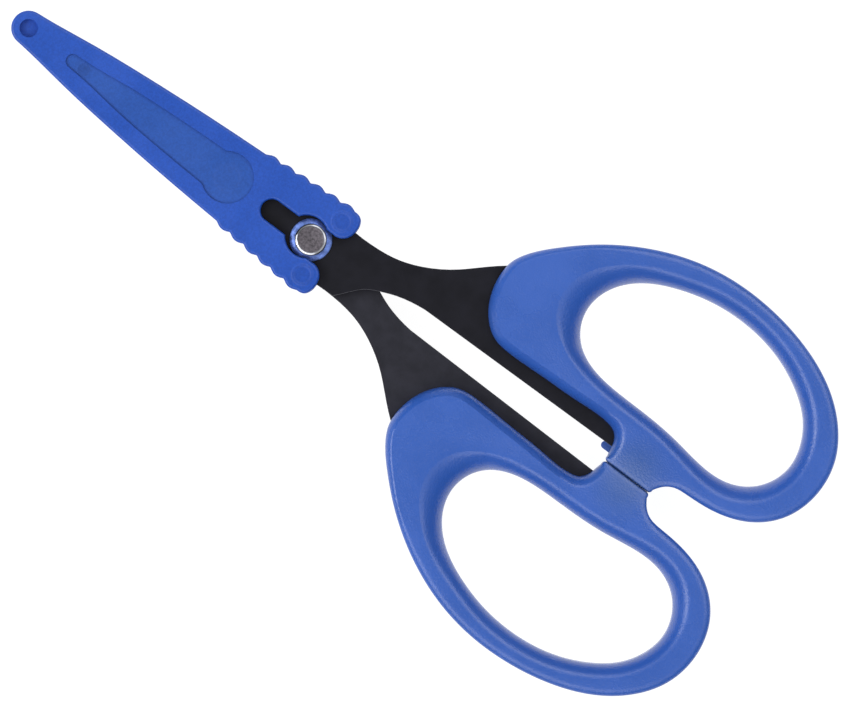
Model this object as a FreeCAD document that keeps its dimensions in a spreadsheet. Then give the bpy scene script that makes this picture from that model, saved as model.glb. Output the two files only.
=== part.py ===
import FreeCAD, Part
import math
import os

from FreeCAD import Placement, Rotation, Vector

# Small two-loop scissors with a slide-on blade sheath.
#
# Two black-coated stamped steel blades cross at a plated rivet. Each blade's tang is moulded into a
# plastic handle with one finger loop, and a one-piece plastic sheath slides over the closed blades until
# its two lugs pass the rivet head.
#
# Millimetres, +Z up. The scissors lie flat and closed on the undersides of their handles. The origin is
# under the middle of the whole length, +X runs towards the blade tips and the rear handle is on the +Y
# side. Every outline below is drawn from the rivet's axis, with z = 0 half way up the handles, and each
# body's Placement carries it to the origin. The front half is the rear half turned over about the X axis.

SIZES = [
    # the whole object
    ("handle_reach", 83.3, "rivet axis to the far end of the finger loops"),
    ("sheath_reach", 55.3, "rivet axis to the tip of the sheath"),
    ("handle_thick", 9.0, "thickness of the moulded handles"),
    # blades
    ("blade_thick", 1.5, "thickness of each stamped blade"),
    ("blade_gap", 0.1, "running gap between the two blades"),
    ("blade_reach", 46.0, "rivet axis to the blade tips"),
    ("bevel_wide", 1.3, "width of the ground bevel at the cutting edge"),
    ("bevel_deep", 1.2, "depth of the ground bevel at the cutting edge"),
    ("bore_radius", 1.6, "pivot hole in the blades and washers"),
    ("anchor_radius", 1.3, "holes in the tang that the handle plastic fills"),
    # handles
    ("loop_round", 2.0, "rounding of the handle round the finger hole"),
    ("rim_round", 0.9, "rounding of the handle along its outer edge"),
    ("nib_half", 0.6, "half the width of the moulded nib on the front handle"),
    ("nib_thick", 1.6, "height of the moulded nib"),
    # rivet and washers
    ("shank_radius", 1.55, "rivet shank"),
    ("head_radius", 2.4, "rivet head"),
    ("head_thick", 1.3, "height of the rivet head"),
    ("head_bevel", 0.35, "bevel round the face of the rivet head"),
    ("collar_radius", 3.15, "polished collar washer under the head"),
    ("collar_edge", 0.12, "thickness of the collar washer at its rim"),
    ("collar_thick", 0.55, "thickness of the collar washer under the head"),
    ("tail_radius", 2.1, "peened tail of the rivet"),
    ("tail_thick", 0.75, "height of the peened tail"),
    ("washer_radius", 2.45, "flat washer under the tail"),
    ("washer_thick", 0.5, "thickness of the flat washer"),
    ("end_play", 0.03, "gap between each washer and the blade beside it"),
    # sheath
    ("sheath_thick", 7.0, "thickness of the sheath"),
    ("sheath_wall", 1.2, "sheath wall over each flat of the blades"),
    ("sheath_round", 0.4, "rounding of the sheath's outer edges"),
    ("key_radius", 3.2, "round relief in the sheath round the rivet"),
    ("key_centre", 0.8, "centre of that relief ahead of the rivet axis"),
    ("throat_half", 2.6, "half the gap between the two lugs"),
    ("slot_half", 1.7, "half the width of the slot that lets the lugs spring"),
    ("slot_centre", 7.25, "rivet axis to the centre of the slot's round end"),
    ("wave_count", 6, "finger grips along each side of the sheath"),
    ("wave_height", 0.5, "depth of the finger grips"),
    ("panel_deep", 0.35, "recess of the panels in the sheath's two flats"),
    ("panel_radius", 4.1, "round end of the recessed panel"),
    ("peg_radius", 1.38, "blind peg hole at the sheath's tip"),
    ("peg_deep", 1.2, "depth of the peg hole"),
    ("mark_radius", 0.95, "round ejector marks on the sheath"),
    ("mark_deep", 0.06, "depth of those marks"),
]

# ------------------------------------------------------------- outlines, from the rivet's axis

# Rear handle: from the far end of the stop face round the loop, over the tang, back to the near end.
BOW = [
    (-63.1, 0.15), (-63.35, 0.8), (-63.95, 1.7), (-64.75, 2.45), (-65.8, 2.95), (-67.7, 3.2),
    (-70.55, 3.38), (-74.85, 4.25), (-78.65, 6.2), (-81.5, 9.25), (-83.0, 12.95), (-83.3, 16.5),
    (-82.4, 20.7), (-79.7, 24.95), (-74.9, 28.85), (-68.65, 31.5), (-61.5, 32.9), (-55.0, 33.05),
    (-47.9, 31.85), (-40.85, 29.05), (-34.4, 24.9), (-29.95, 20.9), (-27.4, 18.0), (-25.9, 15.0),
    (-25.8, 12.4), (-26.6, 9.2), (-28.4, 6.4), (-30.9, 4.65), (-34.0, 4.2), (-40.0, 4.4),
    (-46.0, 4.6), (-51.6, 4.75), (-53.4, 4.2), (-54.35, 2.85), (-54.65, 1.6), (-54.85, 0.15),
]
FINGER_HOLE = [
    (-77.95, 16.0), (-77.35, 19.35), (-75.2, 22.85), (-71.6, 25.75), (-66.1, 28.1), (-60.0, 29.1),
    (-53.95, 28.7), (-48.4, 27.15), (-43.25, 24.3), (-40.25, 20.8), (-39.3, 17.0), (-40.15, 13.75),
    (-42.1, 11.45), (-45.55, 9.85), (-50.5, 9.25), (-56.0, 9.15), (-61.5, 8.75), (-67.0, 8.0),
    (-71.35, 8.25), (-74.7, 9.7), (-77.1, 12.55),
]

# Rear blade: the tang lies in the handle, the shoulder swells up to it, the heel crosses the other blade.
TANG_BACK = -56.4
TANG_INNER = 2.3
TANG_OUTER = [(TANG_BACK, 6.3), (-44.0, 6.8), (-35.0, 9.6), (-29.5, 13.4), (-26.6, 15.1)]
SHOULDER = [
    (-26.6, 15.1), (-24.0, 13.05), (-20.0, 9.45), (-16.0, 6.9), (-12.0, 5.4), (-7.6, 4.85), (0.0, 4.75),
]
EDGE_START = (6.0, 4.1)
EDGE_END = 0.75
SPINE = [(-7.6, -4.75), (0.0, -4.9), (12.0, -4.4), (26.0, -3.3), (38.0, -1.8), (44.8, -0.75)]
HEEL = [
    (-7.6, -4.75), (-9.0, -3.15), (-10.9, -1.1), (-12.9, 0.0), (-15.0, 0.85), (-17.0, 1.4), (-20.0, 1.85),
]
ANCHORS = [(-31.4, 8.6), (-36.8, 6.7)]

# Sheath: its side from the round tip back to the first finger grip, then the lug beside the rivet.
FLANK = [(53.0, 2.6), (49.7, 2.95), (44.0, 3.72), (35.0, 4.68), (24.0, 5.56), (13.0, 6.2)]
LUG = [(-2.84, 7.3), (-4.3, 6.7), (-4.7, 5.2), (-4.35, 3.7), (-3.5, 2.85), (-2.2, 2.6)]
PANEL = [(18.0, 3.1), (24.6, 2.8), (29.6, 2.5), (34.5, 2.1), (39.5, 1.5), (44.4, 1.1)]
PANEL_CENTRE = 15.7
PANEL_END = 45.5
MARKS = [(42.35, 0.0), (-2.1, 4.95), (-2.1, -4.95)]
POCKET_SIDE = [(2.0, 6.05), (13.0, 5.0), (30.0, 3.9), (40.0, 2.94), (46.4, 1.9)]
POCKET_END = 47.6
POCKET_MOUTH = -8.0
PEG_CENTRE = 52.65
WAVE_SOFT = 0.15  # how much the valleys between the finger grips are rounded


def line(start, end):
    return Part.LineSegment(Vector(*start, 0), Vector(*end, 0))


def arc(start, middle, end):
    return Part.Arc(Vector(*start, 0), Vector(*middle, 0), Vector(*end, 0))


def circle(centre, radius):
    return Part.Circle(Vector(*centre, 0), Vector(0, 0, 1), radius)


def curve(points, closed=False):
    """A smooth spline through the points."""
    spline = Part.BSplineCurve()
    spline.interpolate(Points=[Vector(x, y, 0) for x, y in points], PeriodicFlag=closed)
    return spline


def on_side(points, side):
    """The points as drawn for side 1, or mirrored in the X axis for side -1."""
    return [(x, side * y) for x, y in points]


# ------------------------------------------------------------- helpers for the parametric document

def make_sheet(doc):
    """The spreadsheet of driving dimensions, one alias per row."""
    sheet = doc.addObject("Spreadsheet::Sheet", "Sizes")
    for row, (alias, value, meaning) in enumerate(SIZES, start=1):
        sheet.set(f"A{row}", alias)
        sheet.set(f"B{row}", str(value))
        sheet.set(f"C{row}", meaning)
        sheet.setAlias(f"B{row}", alias)
    doc.recompute()
    return sheet


def make_body(doc, label, turned=False):
    """An empty body on the rivet's axis; a turned one is rolled half a turn about X."""
    body = doc.addObject("PartDesign::Body", label)
    body.Label = label
    body.Placement = Placement(Vector(0, 0, 0), Rotation(Vector(1, 0, 0), 180 if turned else 0))
    body.setExpression("Placement.Base.x", "(Sizes.handle_reach - Sizes.sheath_reach) / 2")
    body.setExpression("Placement.Base.z", "Sizes.handle_thick / 2")
    return body


def make_sketch(body, name, shapes, plane="XY_Plane", level=None):
    """A sketch on one of the body's own planes, raised by an expression where level is given."""
    sketch = body.newObject("Sketcher::SketchObject", name)
    support = next(item for item in body.Origin.OriginFeatures if item.Role == plane)
    sketch.AttachmentSupport = (support, [""])
    sketch.MapMode = "FlatFace"
    if level:
        sketch.setExpression("AttachmentOffset.Base.z", level)
    for shape in shapes:
        sketch.addGeometry(shape, False)
    return sketch


def extrude(body, kind, sketch, length, symmetric=False, downward=False):
    """Pad or Pocket the sketch by an expression. A pocket cuts downward unless told otherwise."""
    feature = body.newObject("PartDesign::" + kind, sketch.Name + kind)
    feature.Profile = sketch
    feature.setExpression("Length", length)
    if symmetric:
        feature.SideType = "Symmetric"
    feature.Reversed = (downward == (kind == "Pad")) and not symmetric
    sketch.Visibility = False
    body.Document.recompute()
    return feature


def revolve(body, name, points):
    """Turn a closed outline of (radius, height) points a full turn about Z."""
    corners = points + [points[0]]
    sides = [line(a, b) for a, b in zip(corners, corners[1:])]
    sketch = make_sketch(body, name, sides, plane="XZ_Plane")
    feature = body.newObject("PartDesign::Revolution", name + "Turn")
    feature.Profile = sketch
    feature.ReferenceAxis = (sketch, ["V_Axis"])
    feature.Angle = 360
    sketch.Visibility = False
    body.Document.recompute()
    return feature


def edges_where(feature, test):
    """Names of the feature's edges whose bounding box passes the test."""
    found = []
    for number, edge in enumerate(feature.Shape.Edges, start=1):
        if test(edge.BoundBox):
            found.append(f"Edge{number}")
    return found


def dress(body, kind, name, base, edges, size):
    """Fillet or Chamfer some edges of the base feature."""
    feature = body.newObject("PartDesign::" + kind, name)
    feature.Base = (base, edges)
    feature.setExpression("Radius" if kind == "Fillet" else "Size", size)
    body.Document.recompute()
    return feature


# ------------------------------------------------------------- blades

def blade_outline(sizes):
    """Contour of the rear blade. Ahead of the rivet its cutting edge is on the +Y side."""
    edge_end = (sizes.blade_reach - 0.8, EDGE_END)
    return [
        curve(TANG_OUTER),
        curve(SHOULDER),
        curve([SHOULDER[-1], (3.0, 4.55), EDGE_START]),
        line(EDGE_START, edge_end),
        arc(edge_end, (sizes.blade_reach, 0.1), SPINE[-1]),
        curve(SPINE[::-1]),
        curve(HEEL),
        line(HEEL[-1], (TANG_BACK, TANG_INNER)),
        line((TANG_BACK, TANG_INNER), TANG_OUTER[0]),
    ]


def grind_bevel(body, sizes):
    """Cut the bevel along the straight cutting edge, from its heel past the tip."""
    run = sizes.blade_reach - 0.8 - EDGE_START[0]
    slant = math.degrees(math.atan2(EDGE_END - EDGE_START[1], run))
    outer_face = -sizes.blade_gap / 2 - sizes.blade_thick
    slope = sizes.bevel_deep / sizes.bevel_wide
    over = 1.0
    corners = [
        (-sizes.bevel_wide - over, outer_face - over * slope),
        (over, outer_face + sizes.bevel_deep + over * slope),
        (over, outer_face - over * slope),
    ]
    sides = [line(a, b) for a, b in zip(corners, corners[1:] + corners[:1])]
    sketch = make_sketch(body, body.Name + "Wedge", sides, plane="YZ_Plane")
    sketch.AttachmentOffset = Placement(
        Vector(EDGE_START[1], 0, EDGE_START[0]), Rotation(Vector(0, 1, 0), slant)
    )
    extrude(body, "Pocket", sketch, "Sizes.blade_reach", downward=False)


def make_blade(doc, sizes, label, turned):
    """A stamped blade with its pivot hole, anchor holes and ground bevel."""
    body = make_body(doc, label, turned)
    holes = [circle((0, 0), sizes.bore_radius)]
    holes += [circle(centre, sizes.anchor_radius) for centre in ANCHORS]
    level = "-Sizes.blade_gap / 2"
    outline = make_sketch(body, label + "Outline", blade_outline(sizes) + holes, level=level)
    extrude(body, "Pad", outline, "Sizes.blade_thick", downward=True)
    grind_bevel(body, sizes)
    return body


# ------------------------------------------------------------- handles

def handle_outline():
    """Outer contour of the rear handle with its flat stop face."""
    return [curve(BOW), line(BOW[-1], BOW[0])]


def add_nib(body, sizes):
    """The small moulded nib that stands out from the stop block under the edge of the tang."""
    near = BOW[-1][0] - 0.5
    centre = (BOW[-1][0] + 1.3, TANG_INNER - 0.35)
    low = centre[1] - sizes.nib_half
    high = centre[1] + sizes.nib_half
    outline = [
        line((near, low), (centre[0], low)),
        arc((centre[0], low), (centre[0] + sizes.nib_half, centre[1]), (centre[0], high)),
        line((centre[0], high), (near, high)),
        line((near, high), (near, low)),
    ]
    sketch = make_sketch(body, "NibOutline", outline, level="-Sizes.blade_gap / 2")
    extrude(body, "Pad", sketch, "Sizes.nib_thick")


def make_handle(doc, sizes, label, turned, with_nib):
    """A handle moulded round its tang: rounded bow, finger hole, stop block and room for the tang."""
    body = make_body(doc, label, turned)
    outline = make_sketch(body, label + "Outline", handle_outline())
    bow = extrude(body, "Pad", outline, "Sizes.handle_thick", symmetric=True)
    top = sizes.handle_thick / 2

    def is_rim(box):
        return box.ZLength < 0.01 and abs(abs(box.ZMax) - top) < 0.01

    rim = dress(body, "Fillet", label + "Rim", bow, edges_where(bow, is_rim), "Sizes.rim_round")
    hole = make_sketch(body, label + "Hole", [curve(FINGER_HOLE, closed=True)])
    loop = extrude(body, "Pocket", hole, "Sizes.handle_thick + 2", symmetric=True)

    def is_hole_edge(box):
        inside = box.XMin > -79 and box.XMax < -38 and box.YMin > 7 and box.YMax < 30
        return is_rim(box) and inside

    dress(body, "Fillet", label + "Loop", loop, edges_where(loop, is_hole_edge), "Sizes.loop_round")
    tang = blade_outline(sizes) + [circle(centre, sizes.anchor_radius) for centre in ANCHORS]
    tang_room = make_sketch(body, label + "TangRoom", tang, level="-Sizes.blade_gap / 2")
    extrude(body, "Pocket", tang_room, "Sizes.blade_thick", downward=True)
    if with_nib:
        add_nib(body, sizes)
    return body


# ------------------------------------------------------------- rivet and washers

def stack_levels(sizes):
    """Height of the collar's foot and top, and of the flat washer's top and foot."""
    blade_face = sizes.blade_gap / 2 + sizes.blade_thick
    foot = blade_face + sizes.end_play
    return foot, foot + sizes.collar_thick, -foot, -foot - sizes.washer_thick


def make_rivet(doc, sizes):
    """Head, shank and peened tail in one turned piece."""
    body = make_body(doc, "pivot_rivet")
    _, head_foot, _, tail_top = stack_levels(sizes)
    head_top = head_foot + sizes.head_thick
    tail_foot = tail_top - sizes.tail_thick
    tail_edge = sizes.tail_thick / 2
    revolve(body, "RivetOutline", [
        (0, head_top),
        (sizes.head_radius - sizes.head_bevel, head_top),
        (sizes.head_radius, head_top - sizes.head_bevel),
        (sizes.head_radius, head_foot),
        (sizes.shank_radius, head_foot),
        (sizes.shank_radius, tail_top),
        (sizes.tail_radius, tail_top),
        (sizes.tail_radius, tail_top - tail_edge),
        (sizes.tail_radius - tail_edge, tail_foot),
        (0, tail_foot),
    ])
    return body


def make_collar(doc, sizes):
    """The polished collar washer: flat under the head, sloping down to a thin rim."""
    body = make_body(doc, "collar_washer")
    foot, top, _, _ = stack_levels(sizes)
    revolve(body, "CollarOutline", [
        (sizes.bore_radius, foot),
        (sizes.collar_radius, foot),
        (sizes.collar_radius, foot + sizes.collar_edge),
        (sizes.head_radius, top),
        (sizes.bore_radius, top),
    ])
    return body


def make_washer(doc, sizes):
    """The flat washer that the rivet's tail is peened against."""
    body = make_body(doc, "tail_washer")
    _, _, top, foot = stack_levels(sizes)
    revolve(body, "WasherOutline", [
        (sizes.bore_radius, foot),
        (sizes.washer_radius, foot),
        (sizes.washer_radius, top),
        (sizes.bore_radius, top),
    ])
    return body


# ------------------------------------------------------------- sheath

def grips(sizes, side):
    """The finger grips on one side: even waves from the flank back to the lug."""
    start, end = FLANK[-1], LUG[0]
    steps = 8 * int(sizes.wave_count)
    points = []
    for step in range(steps + 1):
        share = step / steps
        wave = math.sin(math.pi * sizes.wave_count * share)
        lift = math.sqrt(wave ** 2 + WAVE_SOFT ** 2) - WAVE_SOFT
        x = start[0] + share * (end[0] - start[0])
        y = start[1] + share * (end[1] - start[1]) + lift * sizes.wave_height
        points.append((x, y))
    return curve(on_side(points, side))


def sheath_side(sizes, side):
    """One side of the sheath's contour: flank, grips, lug, half the rivet's relief and half the slot."""
    centre = sizes.key_centre
    relief_back = centre - math.sqrt(sizes.key_radius ** 2 - sizes.throat_half ** 2)
    relief_front = centre + math.sqrt(sizes.key_radius ** 2 - sizes.slot_half ** 2)
    relief = [(relief_back, sizes.throat_half), (centre, sizes.key_radius), (relief_front, sizes.slot_half)]
    slot_end = (sizes.slot_centre, sizes.slot_half)
    return [
        curve(on_side(FLANK, side)),
        grips(sizes, side),
        curve(on_side(LUG, side)),
        line(*on_side([LUG[-1], relief[0]], side)),
        arc(*on_side(relief, side)),
        line(*on_side([relief[-1], slot_end], side)),
    ]


def sheath_outline(sizes):
    """The whole contour of the sheath in plan, open at the back round the rivet."""
    tip = (sizes.sheath_reach, 0)
    slot_end = (sizes.slot_centre, sizes.slot_half)
    slot_tip = (sizes.slot_centre + sizes.slot_half, 0)
    return [
        arc(FLANK[0], tip, *on_side(FLANK[:1], -1)),
        arc(slot_end, slot_tip, *on_side([slot_end], -1)),
        *sheath_side(sizes, 1),
        *sheath_side(sizes, -1),
    ]


def pocket_outline():
    """Room for the closed blades, open at the back."""
    top, bottom = POCKET_SIDE, on_side(POCKET_SIDE, -1)
    mouth = (POCKET_MOUTH, top[0][1])
    return [
        line(mouth, top[0]),
        curve(top),
        arc(top[-1], (POCKET_END, 0), bottom[-1]),
        curve(bottom),
        line(bottom[0], (mouth[0], -mouth[1])),
        line((mouth[0], -mouth[1]), mouth),
    ]


def panel_outline(sizes):
    """A round end round the slot, narrowing to the tip."""
    top, bottom = PANEL, on_side(PANEL, -1)
    back = (PANEL_CENTRE - sizes.panel_radius, 0)
    return [
        arc(top[0], back, bottom[0]),
        curve(top),
        arc(top[-1], (PANEL_END, 0), bottom[-1]),
        curve(bottom),
    ]


def make_sheath(doc, sizes):
    """The one-piece sheath: pocket for the blades, springy lugs, panels, peg hole and marks."""
    body = make_body(doc, "blade_sheath")
    outline = make_sketch(body, "SheathOutline", sheath_outline(sizes))
    block = extrude(body, "Pad", outline, "Sizes.sheath_thick", symmetric=True)
    top = sizes.sheath_thick / 2

    def is_rim(box):
        return box.ZLength < 0.01 and abs(abs(box.ZMax) - top) < 0.01

    dress(body, "Fillet", "SheathRim", block, edges_where(block, is_rim), "Sizes.sheath_round")
    room = make_sketch(body, "SheathPocket", pocket_outline())
    extrude(body, "Pocket", room, "Sizes.sheath_thick - 2 * Sizes.sheath_wall", symmetric=True)
    front = "Sizes.sheath_thick / 2"
    panel = make_sketch(body, "FrontPanel", panel_outline(sizes), level=front)
    extrude(body, "Pocket", panel, "Sizes.panel_deep", downward=True)
    back_panel = make_sketch(body, "BackPanel", panel_outline(sizes), level="-" + front)
    extrude(body, "Pocket", back_panel, "Sizes.panel_deep")
    peg = make_sketch(body, "PegHole", [circle((PEG_CENTRE, 0), sizes.peg_radius)], level=front)
    extrude(body, "Pocket", peg, "Sizes.peg_deep", downward=True)
    marks = [circle(centre, sizes.mark_radius) for centre in MARKS]
    mark_sketch = make_sketch(body, "EjectorMarks", marks, level=front)
    extrude(body, "Pocket", mark_sketch, "Sizes.mark_deep", downward=True)
    return body


def export(doc, bodies):
    """Check every object, then write one STEP file for each body."""
    doc.recompute()
    for item in doc.Objects:
        if "Invalid" in item.State or "Error" in item.State:
            raise RuntimeError(f"{item.Label} did not rebuild: {item.State}")
    os.makedirs("parts", exist_ok=True)
    for body in bodies:
        if body.Shape.isNull() or not body.Shape.isValid():
            raise RuntimeError(f"{body.Label} has no valid solid")
        body.Shape.exportStep(f"parts/{body.Label}.step")


def build():
    doc = FreeCAD.newDocument("scissors")
    sizes = make_sheet(doc)
    bodies = [
        make_blade(doc, sizes, "rear_blade", turned=False),
        make_blade(doc, sizes, "front_blade", turned=True),
        make_handle(doc, sizes, "rear_handle", turned=False, with_nib=False),
        make_handle(doc, sizes, "front_handle", turned=True, with_nib=True),
        make_rivet(doc, sizes),
        make_collar(doc, sizes),
        make_washer(doc, sizes),
        make_sheath(doc, sizes),
    ]
    export(doc, bodies)


build()
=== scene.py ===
import math

import bmesh
import bpy
import numpy as np
from mathutils import Matrix, Vector
from mathutils.geometry import delaunay_2d_cdt


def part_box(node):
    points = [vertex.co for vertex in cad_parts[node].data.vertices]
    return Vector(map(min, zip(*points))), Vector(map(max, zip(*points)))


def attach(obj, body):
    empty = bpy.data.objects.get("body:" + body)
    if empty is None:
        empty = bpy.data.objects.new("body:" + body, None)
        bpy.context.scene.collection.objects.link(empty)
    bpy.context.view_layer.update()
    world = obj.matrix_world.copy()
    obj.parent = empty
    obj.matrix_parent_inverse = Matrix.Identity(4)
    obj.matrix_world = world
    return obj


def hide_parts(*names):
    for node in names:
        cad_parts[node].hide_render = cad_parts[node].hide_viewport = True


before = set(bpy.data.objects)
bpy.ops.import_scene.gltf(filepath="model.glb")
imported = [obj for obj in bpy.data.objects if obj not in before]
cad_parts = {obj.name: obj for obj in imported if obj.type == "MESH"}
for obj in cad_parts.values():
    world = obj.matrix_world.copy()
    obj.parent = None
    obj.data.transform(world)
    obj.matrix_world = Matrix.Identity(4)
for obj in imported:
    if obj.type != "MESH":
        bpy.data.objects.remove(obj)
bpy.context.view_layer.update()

# Small two-loop scissors with a slide-on blade sheath, lying closed on a white table.
#
# Outlines and sizes are in millimetres from the rivet's axis, with z = 0 half way up the handles, as in
# the CAD model. in_row() carries them to the row frame in metres. The CAD blades, sheath and tail washer
# keep their shapes. The handles, the rivet and the collar are finer meshes that replace the CAD ones.

MM = 0.001
rivet_low, rivet_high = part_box("pivot_rivet")
handle_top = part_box("rear_handle")[1].z
PIVOT = Vector(((rivet_low.x + rivet_high.x) / 2, (rivet_low.y + rivet_high.y) / 2, handle_top / 2))
HALF_THICK = handle_top / 2 / MM


def in_row(x, y, z):
    """A point in millimetres from the rivet's axis, as metres in the row frame."""
    return PIVOT + Vector((x, y, z)) * MM


# ------------------------------------------------------------------ curves and rings in the plane

def spline(points, spacing, closed=False):
    """Rows along a smooth cubic curve through the given rows, that far apart in x and y."""
    rows = np.array(points, float)
    if closed:
        rows = np.vstack([rows, rows[:1]])
    gap = np.linalg.norm(np.diff(rows[:, :2], axis=0), axis=1)
    place = np.concatenate([[0.0], np.cumsum(gap)])
    slope = np.diff(rows, axis=0) / gap[:, None]
    last = len(rows) - 1
    system = np.zeros((last + 1, last + 1))
    target = np.zeros_like(rows)
    for i in range(1, last):
        system[i, i - 1:i + 2] = gap[i - 1], 2 * (gap[i - 1] + gap[i]), gap[i]
        target[i] = 6 * (slope[i] - slope[i - 1])
    if closed:
        system[0, 0], system[0, 1], system[0, last - 1] = 2 * (gap[0] + gap[-1]), gap[0], gap[-1]
        target[0] = 6 * (slope[0] - slope[-1])
        system[last, 0], system[last, last] = 1, -1
    else:
        system[0, 0] = system[last, last] = 1
    bend = np.linalg.solve(system, target)
    count = int(place[-1] / spacing)
    where = np.linspace(0, place[-1], count + 1)
    cell = np.clip(np.searchsorted(place, where, side="right") - 1, 0, last - 1)
    step = gap[cell][:, None]
    b = (where - place[cell])[:, None] / step
    a = 1 - b
    curve = a * rows[cell] + b * rows[cell + 1]
    curve += ((a ** 3 - a) * bend[cell] + (b ** 3 - b) * bend[cell + 1]) * step ** 2 / 6
    return curve[:-1] if closed else curve


def normals(loop, closed):
    """Unit normals to the left of each point's direction of travel."""
    if closed:
        along = np.roll(loop, -1, axis=0) - np.roll(loop, 1, axis=0)
    else:
        along = np.gradient(loop, axis=0)
    along /= np.linalg.norm(along, axis=1)[:, None]
    return np.stack([-along[:, 1], along[:, 0]], axis=1)


def inside(points, loop):
    """True for each point that the closed loop goes round."""
    x, y = points[:, 0][:, None], points[:, 1][:, None]
    ax, ay = loop[:, 0][None], loop[:, 1][None]
    bx, by = np.roll(loop[:, 0], -1)[None], np.roll(loop[:, 1], -1)[None]
    crosses = (ay > y) != (by > y)
    with np.errstate(divide="ignore", invalid="ignore"):
        at = (bx - ax) * (y - ay) / (by - ay) + ax
    return (np.sum(crosses & (x < at), axis=1) % 2) == 1


def outward(loop, normal):
    """The normals, turned round if they point into the loop."""
    middle = len(loop) // 2
    probe = loop[middle:middle + 1] + normal[middle:middle + 1]
    return -normal if inside(probe, loop)[0] else normal


def distance(points, loop):
    """Distance from each point to the nearest point of the loop."""
    return np.min(np.linalg.norm(points[:, None] - loop[None], axis=2), axis=1)


# ------------------------------------------------------------------ handles

# The rear handle's contour, from the far end of its stop face round the loop to the near end, with the
# width of the rounded edge at each point.
BOW = [
    (-63.3, 0.75, 0.35), (-63.95, 1.7, 0.4), (-64.75, 2.45, 0.35), (-65.8, 2.95, 0.45), (-67.7, 3.2, 0.55),
    (-70.55, 3.38, 0.6), (-74.85, 4.25, 0.6), (-78.65, 6.2, 0.6), (-81.5, 9.25, 0.6),
    (-83.0, 12.95, 0.6), (-83.3, 16.5, 0.6), (-82.4, 20.7, 0.6), (-79.7, 24.95, 0.6),
    (-74.9, 28.85, 0.6), (-68.65, 31.5, 0.6), (-61.5, 32.9, 0.6), (-55.0, 33.05, 0.6),
    (-47.9, 31.85, 0.6), (-40.85, 29.05, 0.65), (-34.4, 24.9, 0.7), (-29.95, 20.9, 0.85),
    (-27.4, 18.0, 0.95), (-25.9, 15.0, 1.05), (-25.8, 12.4, 1.15), (-26.6, 9.2, 1.25), (-28.4, 6.4, 1.3),
    (-30.9, 4.65, 1.3), (-34.0, 4.2, 1.35), (-40.0, 4.4, 1.35), (-46.0, 4.6, 1.35), (-51.6, 4.75, 1.3),
    (-53.4, 4.2, 1.3), (-54.35, 2.85, 1.2), (-54.65, 1.6, 1.1), (-54.85, 0.85, 0.9),
]
# The finger hole, with the width of the bevel round it and the height of the crest above the flat.
HOLE = [
    (-77.7, 16.0, 1.7, 0.08), (-77.05, 19.25, 1.7, 0.08), (-75.0, 22.65, 1.7, 0.08),
    (-71.45, 25.5, 1.7, 0.08), (-66.05, 27.9, 1.7, 0.08), (-60.0, 28.9, 1.7, 0.08),
    (-54.0, 28.55, 1.7, 0.08), (-48.45, 27.05, 1.7, 0.08), (-43.25, 24.3, 2.4, 0.08),
    (-40.25, 20.8, 3.6, 0.08), (-39.3, 17.0, 4.4, 0.08), (-40.15, 13.75, 3.7, 0.15),
    (-42.1, 11.45, 2.4, 0.22), (-45.55, 9.85, 1.55, 0.24), (-50.5, 9.25, 1.45, 0.22),
    (-56.0, 9.15, 1.45, 0.21), (-61.5, 8.75, 1.5, 0.2), (-67.0, 8.0, 1.7, 0.17),
    (-71.35, 8.25, 2.0, 0.12), (-74.6, 9.8, 2.1, 0.08), (-76.9, 12.65, 1.9, 0.08),
]
RING_SPACING = 0.4       # distance between the points of a ring

BLOCK_MIDDLE = (-59.3, 1.5)  # middle of the stop block in plan
STOP_STEPS = 26          # steps along the stop face
STOP_ROUND = 0.25        # width of the rounding along the stop face's edges
STOP_TALL = 1.5          # its depth for each millimetre of width
STOP_CORNER = 0.6        # rounding of the face's two corners in plan
STOP_LEVEL = 0.005       # distance from the stop face to the plane between the halves
STOP_OPEN = 0.005        # how much further that is at the far end

EDGE_STEPS = 7           # steps up a rounded edge
CREASE = math.radians(50)  # the roundings stop short of level, which leaves a fine crease
EDGE_DEPTH = (0.7, 0.82)  # depth of the outer rounding for each millimetre of width, and its growth
HOLE_DEPTH = 1.7         # depth of the bevel round the finger hole for each millimetre of width
HOLE_DEEPEST = 4.2

# Between a rounding and the flat the surface eases off: distance in from the rounding, and drop.
EDGE_BLEND = [(0.0, 0.12), (0.2, 0.05), (0.4, 0.012), (0.6, 0.0)]
CREST_BLEND = [(0.0, 0.15), (0.25, 0.065), (0.5, 0.015), (0.75, 0.0)]
BLEND_LEAST = 0.15       # share of that distance that stays where a blend has faded out
BOW_FADE = (-34.0, 8.0)  # the outer blend fades out round the nose: from this x, over this length
TANG_SIDE = 7.5          # there is none below this y, beside the tang,
TANG_FADE = (-54.0, -51.5)  # until it comes back between these x at the block
HOLE_FADE = (-41.0, 4.0)  # the finger hole's blend fades out towards the nose in the same way

CREST_REACH = 2.6        # how soon the flat falls away from the crest round the finger hole
NOSE_FALL = 0.3          # how far the broad nose falls away from the finger hole
NOSE_REACH = 9.0
STOP_FALL = 0.35         # how far the flat falls towards the stop face
STOP_REACH = 2.0

FILL_SPACING = 0.8       # distance between the points of the flat
FILL_ROOM = 0.45 * FILL_SPACING  # the least distance from them to its edges
FILL_MERGE = 1e-5
MERGE = 0.0005           # points nearer than this are one
PARTING = 0.035          # how far the parting line stands proud, as a share of the edge's width
PARTING_STEPS = [(0.0, PARTING), (0.1, PARTING), (0.2, 0.0)]  # height above it, and share
NIB = (-55.4, -53.6, 1.85, 0.6, -0.05, 1.55)  # from x, to x, y, half width, lower and upper z
NIB_STEPS = 8            # steps round its end


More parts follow.
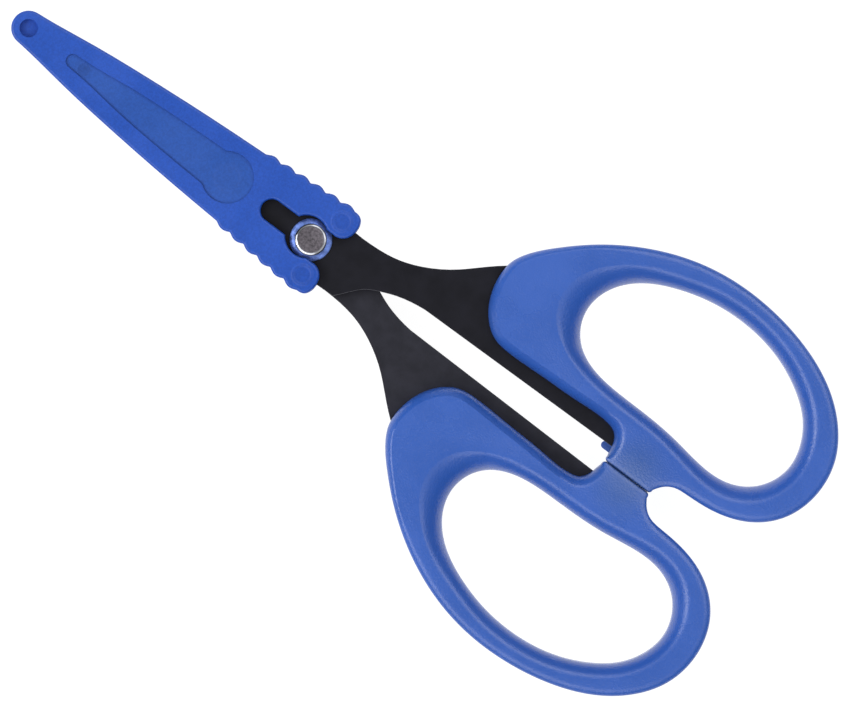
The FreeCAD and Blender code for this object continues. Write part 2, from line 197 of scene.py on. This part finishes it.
def stop_face(far, near, sink):
    """Points from the near end of a ring back to its far end, along the flat stop face."""
    share = (1 - np.cos(np.linspace(0, math.pi, STOP_STEPS + 1)[1:-1])) / 2
    x = near[0] + share * (far[0] - near[0])
    inset = np.minimum(abs(x - near[0]), abs(x - far[0]))
    corner = np.maximum(0, STOP_CORNER - inset)
    curl = STOP_CORNER - np.sqrt(STOP_CORNER ** 2 - corner ** 2)
    return np.column_stack([x, STOP_LEVEL + STOP_OPEN * share + sink + curl])


def outer_ring(share, sink=0.0, extra=0.0):
    """The contour moved inward by a share of its edge width, closed along the stop face."""
    moved = bow[:, :2] - bow_normal * (bow[:, 2:3] * share + extra)
    moved[0, 1] = bow[0, 1] + sink
    moved[-1, 1] = bow[-1, 1] + sink
    return np.vstack([moved, stop_face(moved[0], moved[-1], sink)])


def hole_ring(share, extra=0.0):
    """The finger hole's contour moved outward by a share of its edge width."""
    return hole[:, :2] + hole_normal * (hole[:, 2:3] * share + extra)


def level(points):
    """Height of the handle's flat: it falls away from the crest round the finger hole."""
    gaps = np.linalg.norm(points[:, None] - crest[None], axis=2)
    away = gaps.min(axis=1)
    fall = hole[gaps.argmin(axis=1), 3]
    near = fall * (1 - np.exp(-(away / CREST_REACH) ** 2))
    broad = NOSE_FALL * (1 - np.exp(-(away / NOSE_REACH) ** 2))
    stop = STOP_FALL * np.exp(-(points[:, 1] / STOP_REACH) ** 2)
    return HALF_THICK - near - broad - stop


bow = spline(BOW, RING_SPACING)
bow_normal = outward(bow[:, :2], normals(bow[:, :2], closed=False))
hole = spline(HOLE, RING_SPACING, closed=True)
hole_normal = outward(hole[:, :2], normals(hole[:, :2], closed=True))
crest = hole_ring(1.0)

# How firm the blend is at each point, from 0 to 1, and the share of its width that it has there.
bow_firm = np.clip((BOW_FADE[0] - bow[:, 0]) / BOW_FADE[1], 0, 1)
beside_tang = (bow[:, 1] < TANG_SIDE) & (bow[:, 0] > BLOCK_MIDDLE[0])
bow_firm[beside_tang] = np.interp(bow[beside_tang, 0], TANG_FADE, (1, 0))
bow_reach = BLEND_LEAST + (1 - BLEND_LEAST) * bow_firm[:, None]
bow_firm = np.concatenate([bow_firm, np.ones(STOP_STEPS - 1)])
hole_firm = np.clip((HOLE_FADE[0] - hole[:, 0]) / HOLE_FADE[1], 0, 1)
hole_reach = BLEND_LEAST + (1 - BLEND_LEAST) * hole_firm[:, None]


def rounding():
    """Share of the width and of the depth at each step up a rounded edge, from its wall."""
    steps = [CREASE * step / EDGE_STEPS for step in range(EDGE_STEPS + 1)]
    return [((1 - math.cos(a)) / (1 - math.cos(CREASE)), math.sin(a) / math.sin(CREASE)) for a in steps]


def at_height(ring, height):
    """Rows of x, y and z from a ring in the plane, with one height or one for each point."""
    return np.column_stack([ring, np.broadcast_to(height, len(ring))])


def edge_rings():
    """Rings from the parting line up the outer edge to the flat."""
    depth = bow[:, 2] * (EDGE_DEPTH[0] + EDGE_DEPTH[1] * bow[:, 2])
    depth = np.concatenate([depth, np.full(STOP_STEPS - 1, STOP_TALL * STOP_ROUND)])
    top = level(outer_ring(1.0, STOP_ROUND)) - EDGE_BLEND[0][1] * bow_firm
    rings = [at_height(outer_ring(-proud), height) for height, proud in PARTING_STEPS]
    for share, rise in rounding():
        rings.append(at_height(outer_ring(share, STOP_ROUND * share), top - depth * (1 - rise)))
    for extra, drop in EDGE_BLEND[1:]:
        ring = outer_ring(1.0, STOP_ROUND + extra, extra * bow_reach)
        rings.append(at_height(ring, level(ring) - drop * bow_firm))
    return rings


def hole_rings():
    """Rings from the middle of the finger hole's wall up its bevel to the flat."""
    depth = np.minimum(hole[:, 2] * HOLE_DEPTH, HOLE_DEEPEST)
    top = level(crest) - CREST_BLEND[0][1] * hole_firm
    rings = [at_height(hole_ring(0.0), 0.0)]
    for share, rise in rounding():
        rings.append(at_height(hole_ring(share), top - depth * (1 - rise)))
    for extra, drop in CREST_BLEND[1:]:
        ring = hole_ring(1.0, extra * hole_reach)
        rings.append(at_height(ring, level(ring) - drop * hole_firm))
    return rings


def bridge(mesh, rings):
    """New vertices at closed rings of equal length, with quads from each ring to the next."""
    rows = [[mesh.verts.new(point) for point in ring] for ring in rings]
    for low, high in zip(rows, rows[1:]):
        count = len(low)
        for i in range(count):
            j = (i + 1) % count
            mesh.faces.new((low[i], low[j], high[j], high[i]))
    return rows


def handle_mesh(with_nib):
    """The upper half between the outer edge and the finger hole, its mirror image below, and the nib."""
    mesh = bmesh.new()
    outer_rows = bridge(mesh, edge_rings())
    hole_rows = bridge(mesh, hole_rings())
    fill_flat(mesh, outer_rows[-1], hole_rows[-1])
    top_half = mesh.verts[:] + mesh.edges[:] + mesh.faces[:]
    copied = bmesh.ops.duplicate(mesh, geom=top_half)["geom"]
    for item in copied:
        if isinstance(item, bmesh.types.BMVert):
            item.co.z = -item.co.z
    bmesh.ops.remove_doubles(mesh, verts=mesh.verts, dist=MERGE)
    if with_nib:
        add_nib(mesh)
    bmesh.ops.recalc_face_normals(mesh, faces=mesh.faces)
    return mesh


def add_nib(mesh):
    """The small round-ended nib beside the tang."""
    start, end, middle, half, low, high = NIB
    turn = [math.pi * (step / NIB_STEPS - 0.5) for step in range(NIB_STEPS + 1)]
    outline = [(start, middle - half)]
    outline += [(end + half * math.cos(a), middle + half * math.sin(a)) for a in turn]
    outline.append((start, middle + half))
    rows = bridge(mesh, [[(x, y, z) for x, y in outline] for z in (low, high)])
    mesh.faces.new(rows[0])
    mesh.faces.new(rows[1])


def fill_flat(mesh, outer_row, hole_row):
    """Triangles over the flat between the outer edge's last ring and the hole's crest."""
    outer = np.array([v.co[:2] for v in outer_row])
    inner = np.array([v.co[:2] for v in hole_row])
    low, high = outer.min(axis=0), outer.max(axis=0)
    xs = np.arange(low[0], high[0], FILL_SPACING)
    ys = np.arange(low[1], high[1], FILL_SPACING)
    grid = np.array([(x + (j % 2) * FILL_SPACING / 2, y) for j, y in enumerate(ys) for x in xs])
    keep = inside(grid, outer) & ~inside(grid, inner)
    grid = grid[keep]
    grid = grid[(distance(grid, outer) > FILL_ROOM) & (distance(grid, inner) > FILL_ROOM)]
    vertices = outer_row + hole_row + [mesh.verts.new((*p, z)) for p, z in zip(grid, level(grid))]
    points = [Vector(v.co[:2]) for v in vertices]
    edges = [(i, (i + 1) % len(outer_row)) for i in range(len(outer_row))]
    start = len(outer_row)
    edges += [(start + i, start + (i + 1) % len(hole_row)) for i in range(len(hole_row))]
    _, _, faces, origins, _, _ = delaunay_2d_cdt(points, edges, [], 0, FILL_MERGE)
    triangles = [[origins[i][0] for i in face] for face in faces]
    flat = np.array([v.co[:2] for v in vertices])
    centres = np.array([flat[triangle].mean(axis=0) for triangle in triangles])
    wanted = inside(centres, outer) & ~inside(centres, inner)
    for triangle, use in zip(triangles, wanted):
        if use:
            mesh.faces.new([vertices[i] for i in triangle])


# ------------------------------------------------------------------ turned parts

LATHE_SIDES = 72
AXIS_REACH = 0.01        # a ring smaller than this is a point on the axis
HEAD_FACE = 1.97         # radius of the rivet's rough face, inside its polished rim
FACE_SLOPE = 0.08        # width of the small step up to that rim
# Profiles as (radius, height).
RIVET = [
    (0.0, 3.4), (HEAD_FACE - FACE_SLOPE, 3.4), (HEAD_FACE, 3.43), (2.05, 3.43), (2.32, 3.3), (2.39, 3.23),
    (2.4, 3.15), (2.4, 2.13), (1.55, 2.13), (1.55, -2.08), (2.1, -2.08), (2.1, -2.45), (2.0, -2.66),
    (1.72, -2.8), (1.3, -2.83), (0.0, -2.83),
]
COLLAR = [
    (1.6, 1.58), (3.15, 1.58), (3.2, 1.62), (3.2, 1.84), (3.14, 1.9), (2.9, 1.98), (2.65, 2.06),
    (2.4, 2.13), (1.6, 2.13), (1.6, 1.58),
]


def lathe(profile):
    """A surface turned about the rivet's axis, closed where its profile reaches the axis."""
    mesh = bmesh.new()
    turn = [2 * math.pi * i / LATHE_SIDES for i in range(LATHE_SIDES)]
    rows = bridge(mesh, [[(r * math.cos(a), r * math.sin(a), z) for a in turn] for r, z in profile])
    for row in (rows[0], rows[-1]):
        if row[0].co.xy.length < AXIS_REACH:
            bmesh.ops.pointmerge(mesh, verts=row, merge_co=(0, 0, row[0].co.z))
    bmesh.ops.remove_doubles(mesh, verts=mesh.verts, dist=MERGE)
    bmesh.ops.recalc_face_normals(mesh, faces=mesh.faces)
    return mesh


# ------------------------------------------------------------------ pieces and modifiers

HANDLE_SHARP = 33        # creases sharper than this many degrees stay crisp
TURNED_SHARP = 35
SEAM = 0.001             # width of the open seams between a CAD mesh's faces
FLAT_ANGLE = 0.5         # facets that turn by fewer degrees are merged
EDGE_ANGLE = 30          # edges that turn by more are rounded
BLADE_ROUND = 0.16       # width of the rounding on the blades' edges


def finish_mesh(mesh, name, body, material, turned=False, sharp=TURNED_SHARP):
    """Turn a mesh in millimetres into a piece in the row frame that rides on a body."""
    if turned:
        bmesh.ops.rotate(mesh, verts=mesh.verts, matrix=Matrix.Rotation(math.pi, 3, "X"))
    for vertex in mesh.verts:
        vertex.co = in_row(*vertex.co)
    data = bpy.data.meshes.new(name)
    mesh.to_mesh(data)
    mesh.free()
    data.shade_smooth()
    data.set_sharp_from_angle(angle=math.radians(sharp))
    piece = bpy.data.objects.new(name, data)
    bpy.context.scene.collection.objects.link(piece)
    data.materials.append(material)
    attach(piece, body)
    return piece


def assign(node, material):
    """Give a CAD node one material in all of its slots."""
    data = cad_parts[node].data
    if not data.materials:
        data.materials.append(material)
    for index in range(len(data.materials)):
        data.materials[index] = material


def soften(node, width):
    """Close a CAD node's seams, merge its flat facets and round its edges, so that they catch light."""
    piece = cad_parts[node]
    weld = piece.modifiers.new("seams", "WELD")
    weld.merge_threshold = SEAM * MM
    merge = piece.modifiers.new("flats", "DECIMATE")
    merge.decimate_type = "DISSOLVE"
    merge.angle_limit = math.radians(FLAT_ANGLE)
    bevel = piece.modifiers.new("edges", "BEVEL")
    bevel.width = width * MM
    bevel.segments = 2
    bevel.limit_method = "ANGLE"
    bevel.angle_limit = math.radians(EDGE_ANGLE)
    piece.modifiers.new("shading", "WEIGHTED_NORMAL")


# ------------------------------------------------------------------ shader nodes

def fill(links, node, inputs):
    """Link or set each named input of a node."""
    for key, value in inputs.items():
        if isinstance(value, bpy.types.NodeSocket):
            links.new(value, node.inputs[key])
        else:
            node.inputs[key].default_value = value


def node_adder(tree):
    """A function that adds a node to the tree, links or sets its inputs, and returns one output."""
    def add(kind, inputs=None, output=0, **settings):
        node = tree.nodes.new("ShaderNode" + kind)
        for key, value in settings.items():
            setattr(node, key, value)
        fill(tree.links, node, inputs or {})
        return node.outputs[output]

    return add


def new_material(name):
    """A material with its shader, its node adder and the place on the surface."""
    material = bpy.data.materials.new(name)
    material.use_nodes = True
    tree = material.node_tree
    tree.nodes.clear()
    output = tree.nodes.new("ShaderNodeOutputMaterial")
    shader = tree.nodes.new("ShaderNodeBsdfPrincipled")
    tree.links.new(shader.outputs[0], output.inputs["Surface"])
    add = node_adder(tree)
    return material, shader, add, add("TexCoord", output="Object")


def finish_material(material, shader, **inputs):
    """Link or set the shader's inputs, whose names are written with underscores."""
    named = {key.replace("_", " "): value for key, value in inputs.items()}
    fill(material.node_tree.links, shader, named)
    return material


def calc(add, operation, *values):
    """One step of arithmetic on sockets and numbers."""
    return add("Math", dict(enumerate(values)), operation=operation)


def coordinate(add, vector, axis="Z"):
    """One coordinate of a vector."""
    return add("SeparateXYZ", {0: vector}, output=axis)


def smooth(add, value, start, end, low=0.0, high=1.0):
    """A smooth step of a value between two levels."""
    return add("MapRange", {"Value": value, "From Min": start, "From Max": end, "To Min": low,
                            "To Max": high}, interpolation_type="SMOOTHSTEP")


def band(add, value, rise, fall):
    """1 between two soft steps, each given by its two ends, and 0 outside them."""
    return calc(add, "MULTIPLY", smooth(add, value, *rise), smooth(add, value, *fall, 1.0, 0.0))


def noise(add, place, scale, detail=3.0):
    """A noise field that swings about 0.5."""
    return add("TexNoise", {"Vector": place, "Scale": scale, "Detail": detail, "Roughness": 0.6})


def vary(add, field, low, high, spread=0.2):
    """A value that follows a noise field between two levels."""
    return smooth(add, field, 0.5 - spread, 0.5 + spread, low, high)


def tint(add, colour, shade):
    """A colour scaled by a shade that varies over the surface."""
    return add("VectorMath", {0: colour, "Scale": shade}, operation="SCALE")


def mix(add, share, first, second):
    """A colour that goes from the first to the second with the share."""
    return add("Mix", {"Factor": share, "A": first, "B": second}, output=1, data_type="VECTOR")


def grainy(add, place, scale, depth):
    """A bump normal of fine grain, its depth in millimetres."""
    fine = noise(add, place, scale, 2.0)
    return add("Bump", {"Height": fine, "Strength": 0.5, "Distance": depth * MM})


def from_axis(add, place, axis):
    """Distance in plan from a vertical axis."""
    flat = add("VectorMath", {0: place, 1: (1.0, 1.0, 0.0)}, operation="MULTIPLY")
    return add("VectorMath", {0: flat, 1: (axis.x, axis.y, 0.0)}, output="Value", operation="DISTANCE")


def ring_mark(add, place, centre, radius, width):
    """Masks of a thin ring of that radius about a vertical axis, and of the disc inside it."""
    miss = calc(add, "SUBTRACT", from_axis(add, place, in_row(*centre, 0)), radius * MM)
    disc = smooth(add, miss, -0.5 * width * MM, 0.5 * width * MM, 1.0, 0.0)
    return smooth(add, calc(add, "ABSOLUTE", miss), 0.0, width * MM, 1.0, 0.0), disc


# ------------------------------------------------------------------ materials

HANDLE_BLUE = (0.027, 0.108, 0.474)
# the stop block's greyer blue is a painted sheen
BLOCK_SHEEN_BLUE = (0.036, 0.106, 0.355)
BLOCK_NEAR = (2.5, 7.5)  # the stop block is greyer this near its middle, and plain from here on
GROOVE_SHADE_REACH = (0.1, 0.35)      # painted shade darkens the groove between the halves, this far from its middle
GROOVE_SHADE_LEVEL = 0.4

SHEATH_BLUE = (0.010, 0.076, 0.450)
# the sunk panel's darker blue is painted shade
PANEL_SHADE_BLUE = (0.013, 0.080, 0.390)
PANEL_LEVEL = 3.15       # height of the sheath's sunk panel
PANEL_NEAR = (0.03, 0.08)  # what lies this near that height and faces up belongs to the panel
PANEL_FACING = (0.95, 0.99)
RING_HEIGHT = 0.05
# Centre, radius, half width and relative height of each fine ring moulded in the sheath, and how much
# darker the disc inside it is.
RING_MARKS = [
    ((-2.1, 4.95), 1.45, 0.35, 1.0, 0.04), ((-2.1, -4.95), 1.45, 0.35, 1.0, 0.04),
    ((15.4, 0.0), 1.9, 0.4, 0.5, 0.04), ((42.35, 0.0), 0.95, 0.3, 0.3, 0.2),
]

# one black coat on both blades: the front copy is painted darker as shade, the rear copy lighter as a
# painted reflection
FRONT_COAT_SHADED = (0.0035, 0.0035, 0.0085)
REAR_COAT_LIT = (0.018, 0.018, 0.027)
# the paler grey on the blades' rounded edges is a painted highlight
EDGE_HIGHLIGHT_GREY = (0.12, 0.12, 0.14)
BARE_STEEL = (0.5, 0.5, 0.5)
GROUND_SLANT = ((0.7, 0.72), (0.75, 0.77))  # upright part of the normal on the ground bevel
EDGE_HIGHLIGHT_SLANT = ((0.85, 0.88), (0.95, 0.98))  # and on the rounded edges

FACE_GREY = (0.14, 0.127, 0.145)
RIM_GREY = (0.66, 0.68, 0.74)
RIM_START = (HEAD_FACE - 0.05, HEAD_FACE + 0.02)
RIM_REFLECTION_GAPS = (0.45, 0.6)   # noise levels between which the rim is painted darker, breaking its bright reflection into arcs
# the collar is polished metal with a tint; its navy blue is partly a painted reflection of the blue sheath
# round it
COLLAR_REFLECTED_BLUE = (0.16, 0.26, 0.68)
WASHER_GREY = (0.5, 0.5, 0.52)


def moulded_plastic(name, roughness, grain, depth):
    """The handles' plastic: leathery grain, stop blocks greyed by a painted sheen, and painted shade in
    the groove where the halves meet.
    """
    material, shader, add, place = new_material(name)
    cloud = noise(add, place, 90.0)
    shade = vary(add, cloud, 0.95, 1.05)
    folded = add("VectorMath", {0: place}, operation="ABSOLUTE")
    middle = in_row(*BLOCK_MIDDLE, 0)
    away = add("VectorMath", {0: folded, 1: (abs(middle.x), middle.y, middle.z)}, output="Value",
               operation="DISTANCE")
    # painted sheen: greyer blue on the stop block, fading out away from its middle
    block = smooth(add, away, *(reach * MM for reach in BLOCK_NEAR), 1.0, 0.0)
    blend = mix(add, block, tint(add, HANDLE_BLUE, shade), tint(add, BLOCK_SHEEN_BLUE, shade))
    off_plane = coordinate(add, folded, "Y")
    # painted shade along the groove where the two halves meet
    groove_shade = smooth(add, off_plane, *(reach * MM for reach in GROOVE_SHADE_REACH), GROOVE_SHADE_LEVEL, 1.0)
    return finish_material(
        material, shader,
        Base_Color=tint(add, blend, groove_shade),
        Roughness=vary(add, cloud, roughness - 0.04, roughness + 0.04),
        Specular_IOR_Level=0.75,
        Normal=grainy(add, place, grain, depth),
    )


def sheath_plastic(name):
    """The sheath's plastic: painted shade in the sunk panels, with fine rings moulded in it."""
    material, shader, add, place = new_material(name)
    facing = coordinate(add, add("TexCoord", output="Normal"))
    off_panel = calc(add, "SUBTRACT", coordinate(add, place), PIVOT.z + PANEL_LEVEL * MM)
    near = smooth(add, calc(add, "ABSOLUTE", off_panel), *(reach * MM for reach in PANEL_NEAR), 1.0, 0.0)
    # painted shade over the floor of the sunk panel
    panel = calc(add, "MULTIPLY", near, smooth(add, facing, *PANEL_FACING))
    cloud = noise(add, place, 120.0)
    speckle = vary(add, noise(add, place, 3200.0, 2.0), 0.9, 1.1)
    shade = calc(add, "MULTIPLY", vary(add, cloud, 0.96, 1.04), speckle)
    blend = mix(add, panel, tint(add, SHEATH_BLUE, shade), tint(add, PANEL_SHADE_BLUE, shade))
    relief = 0.0
    for centre, radius, width, height, dark in RING_MARKS:
        ring, disc = ring_mark(add, place, centre, radius, width)
        relief = calc(add, "MULTIPLY_ADD", ring, height, relief)
        blend = tint(add, blend, calc(add, "MULTIPLY_ADD", disc, -dark, 1.0))
    raised = {"Height": relief, "Strength": 1.0, "Distance": RING_HEIGHT * MM}
    return finish_material(
        material, shader,
        Base_Color=blend,
        Roughness=vary(add, cloud, 0.34, 0.42),
        Normal=add("Bump", {**raised, "Normal": grainy(add, place, 2500.0, 0.035)}),
    )


def coated_steel(name, black):
    """Black non-stick coat with a painted highlight on rounded edges; the ground bevel is bare satin
    steel.
    """
    material, shader, add, place = new_material(name)
    cloud = noise(add, place, 400.0, 5.0)
    slant = calc(add, "ABSOLUTE", coordinate(add, add("NewGeometry", output="True Normal")))
    ground = band(add, slant, *GROUND_SLANT)
    coat = tint(add, black, vary(add, cloud, 0.8, 1.2, 0.25))
    # painted highlight: the rounded edges are made paler grey
    coat = mix(add, band(add, slant, *EDGE_HIGHLIGHT_SLANT), coat, EDGE_HIGHLIGHT_GREY)
    return finish_material(
        material, shader,
        Base_Color=mix(add, ground, coat, BARE_STEEL),
        Metallic=ground,
        Roughness=vary(add, cloud, 0.4, 0.5, 0.25),
        Specular_IOR_Level=0.25,
        Normal=grainy(add, place, 5000.0, 0.01),
    )


def rivet_steel(name):
    """Plated steel: a rough, mottled face inside a polished rim, dimmed in patches by painted gaps in its
    reflection.
    """
    material, shader, add, place = new_material(name)
    away = from_axis(add, place, PIVOT)
    rim = smooth(add, away, *(reach * MM for reach in RIM_START))
    face = tint(add, FACE_GREY, vary(add, noise(add, place, 2400.0, 4.0), 0.65, 1.4))
    # painted reflection: noise dims the rim in patches, so that its bright ring breaks into arcs
    polish = tint(add, RIM_GREY, smooth(add, noise(add, place, 420.0, 1.0), *RIM_REFLECTION_GAPS, 1.0, 0.35))
    return finish_material(
        material, shader,
        Base_Color=mix(add, rim, face, polish),
        Metallic=1.0,
        Roughness=smooth(add, rim, 0.0, 1.0, 0.5, 0.1),
        Normal=grainy(add, place, 2500.0, 0.03),
    )


def polished(name, colour, roughness, metallic=1.0, uneven=0.1):
    """Polished plating, slightly uneven."""
    material, shader, add, place = new_material(name)
    cloud = noise(add, place, 900.0)
    return finish_material(
        material, shader,
        Base_Color=tint(add, colour, vary(add, cloud, 1 - uneven, 1 + uneven, 0.15)),
        Metallic=metallic,
        Roughness=vary(add, cloud, roughness, roughness + 0.08),
        Normal=grainy(add, place, 3000.0, 0.004),
    )


# ------------------------------------------------------------------ table, light and camera

TABLE_GREY = 0.18        # the table mostly shines by itself, so that it stays white in the shade
TABLE_GLOW = 0.96
TABLE_HALF = 4.0
TABLE_DROP = 0.0001      # it lies this far under the scissors

HORIZON = 0.1            # brightness of the surround at table height
SKY = 2.4                # its brightness part way up
ZENITH = 0.8             # and in the opening straight above, where the camera stands
SKY_RISE = (0.4, 0.8)    # heights on the unit sphere where the surround brightens
SKY_OPENING = (0.93, 0.98)  # and where it dims towards the opening
SIDE_LIGHT = (0.25, 2.0)  # share of it that comes from all round, and what the two long sides add
LAMP_SIZE = 0.35
LAMP_ENERGY = 1.4
LAMP_PLACE = (0.4, 0.3, 0.45)

CAMERA_AIM = (-23.66, 3.5)
CAMERA_REACH = 1.6       # metres above the scissors
CAMERA_RIGHT = (-0.8, -0.6, 0.0)  # what is right and up in the picture
CAMERA_UP = (0.6, -0.8, 0.0)
VIEW_WIDTH = 0.12675     # what the picture's width shows, in metres


def make_stage():
    """A white table under the scissors that keeps bright in their shade."""
    material, shader = new_material("white_table")[:2]
    finish_material(
        material, shader,
        Base_Color=(TABLE_GREY, TABLE_GREY, TABLE_GREY, 1),
        Roughness=0.9,
        Emission_Color=(1, 1, 1, 1),
        Emission_Strength=TABLE_GLOW,
    )
    mesh = bmesh.new()
    bmesh.ops.create_grid(mesh, x_segments=1, y_segments=1, size=TABLE_HALF)
    data = bpy.data.meshes.new("table")
    mesh.to_mesh(data)
    mesh.free()
    data.materials.append(material)
    table = bpy.data.objects.new("table", data)
    bpy.context.scene.collection.objects.link(table)
    table.location.z = -TABLE_DROP


def make_surround():
    """A white surround, brighter on its two long sides, with a dimmer opening straight above."""
    world = bpy.data.worlds.new("surround")
    bpy.context.scene.world = world
    world.use_nodes = True
    add = node_adder(world.node_tree)
    way = add("TexCoord", output="Generated")
    height = coordinate(add, way)
    rise = smooth(add, height, *SKY_RISE, HORIZON, SKY)
    opening = smooth(add, height, *SKY_OPENING, 1.0, ZENITH / SKY)
    across = coordinate(add, way, "Y")
    sides = calc(add, "MULTIPLY_ADD", calc(add, "MULTIPLY", across, across), SIDE_LIGHT[1], SIDE_LIGHT[0])
    strength = calc(add, "MULTIPLY", calc(add, "MULTIPLY", rise, opening), sides)
    background = world.node_tree.nodes["Background"]
    fill(world.node_tree.links, background, {"Color": (1, 1, 1, 1), "Strength": strength})


def make_lamp():
    """A softbox to one side."""
    lamp = bpy.data.lights.new("softbox", "AREA")
    lamp.size = LAMP_SIZE
    lamp.energy = LAMP_ENERGY
    softbox = bpy.data.objects.new("softbox", lamp)
    softbox.location = LAMP_PLACE
    softbox.rotation_euler = (-softbox.location).to_track_quat("-Z", "Y").to_euler()
    bpy.context.scene.collection.objects.link(softbox)


def make_camera():
    """Straight down, turned so that the blades point to the upper left."""
    camera = bpy.data.objects.new("camera", bpy.data.cameras.new("camera"))
    bpy.context.scene.collection.objects.link(camera)
    camera.data.lens = camera.data.sensor_width * CAMERA_REACH / VIEW_WIDTH
    camera.data.clip_start = 0.01
    back = Vector((0, 0, 1))
    turn = Matrix((CAMERA_RIGHT, CAMERA_UP, back)).transposed().to_4x4()
    camera.matrix_world = Matrix.Translation(in_row(*CAMERA_AIM, 0) + back * CAMERA_REACH) @ turn
    bpy.context.scene.camera = camera


# ------------------------------------------------------------------ the scissors on their table

handle_plastic = moulded_plastic("handle_plastic", roughness=0.27, grain=3600.0, depth=0.12)
rear_handle = finish_mesh(handle_mesh(with_nib=False), "rear_handle_grip", "rear_half", handle_plastic,
                          sharp=HANDLE_SHARP)
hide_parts("rear_handle")
front_handle = finish_mesh(handle_mesh(with_nib=True), "front_handle_grip", "front_half", handle_plastic,
                           turned=True, sharp=HANDLE_SHARP)
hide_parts("front_handle")
button = finish_mesh(lathe(RIVET), "rivet_button", "pivot", rivet_steel("rivet_steel"))
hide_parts("pivot_rivet")
chrome = polished("collar_chrome", COLLAR_REFLECTED_BLUE, roughness=0.28, metallic=0.55, uneven=0.4)
collar = finish_mesh(lathe(COLLAR), "collar_ring", "pivot", chrome)
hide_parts("collar_washer")

assign("front_blade", coated_steel("blade_coat_front_shaded", FRONT_COAT_SHADED))
assign("rear_blade", coated_steel("blade_coat_rear_lit", REAR_COAT_LIT))
assign("blade_sheath", sheath_plastic("sheath_plastic"))
assign("tail_washer", polished("washer_steel", WASHER_GREY, roughness=0.25))
for node in ("front_blade", "rear_blade"):
    soften(node, BLADE_ROUND)

make_stage()
make_surround()
make_lamp()
make_camera()
bpy.context.scene.view_settings.view_transform = "Standard"
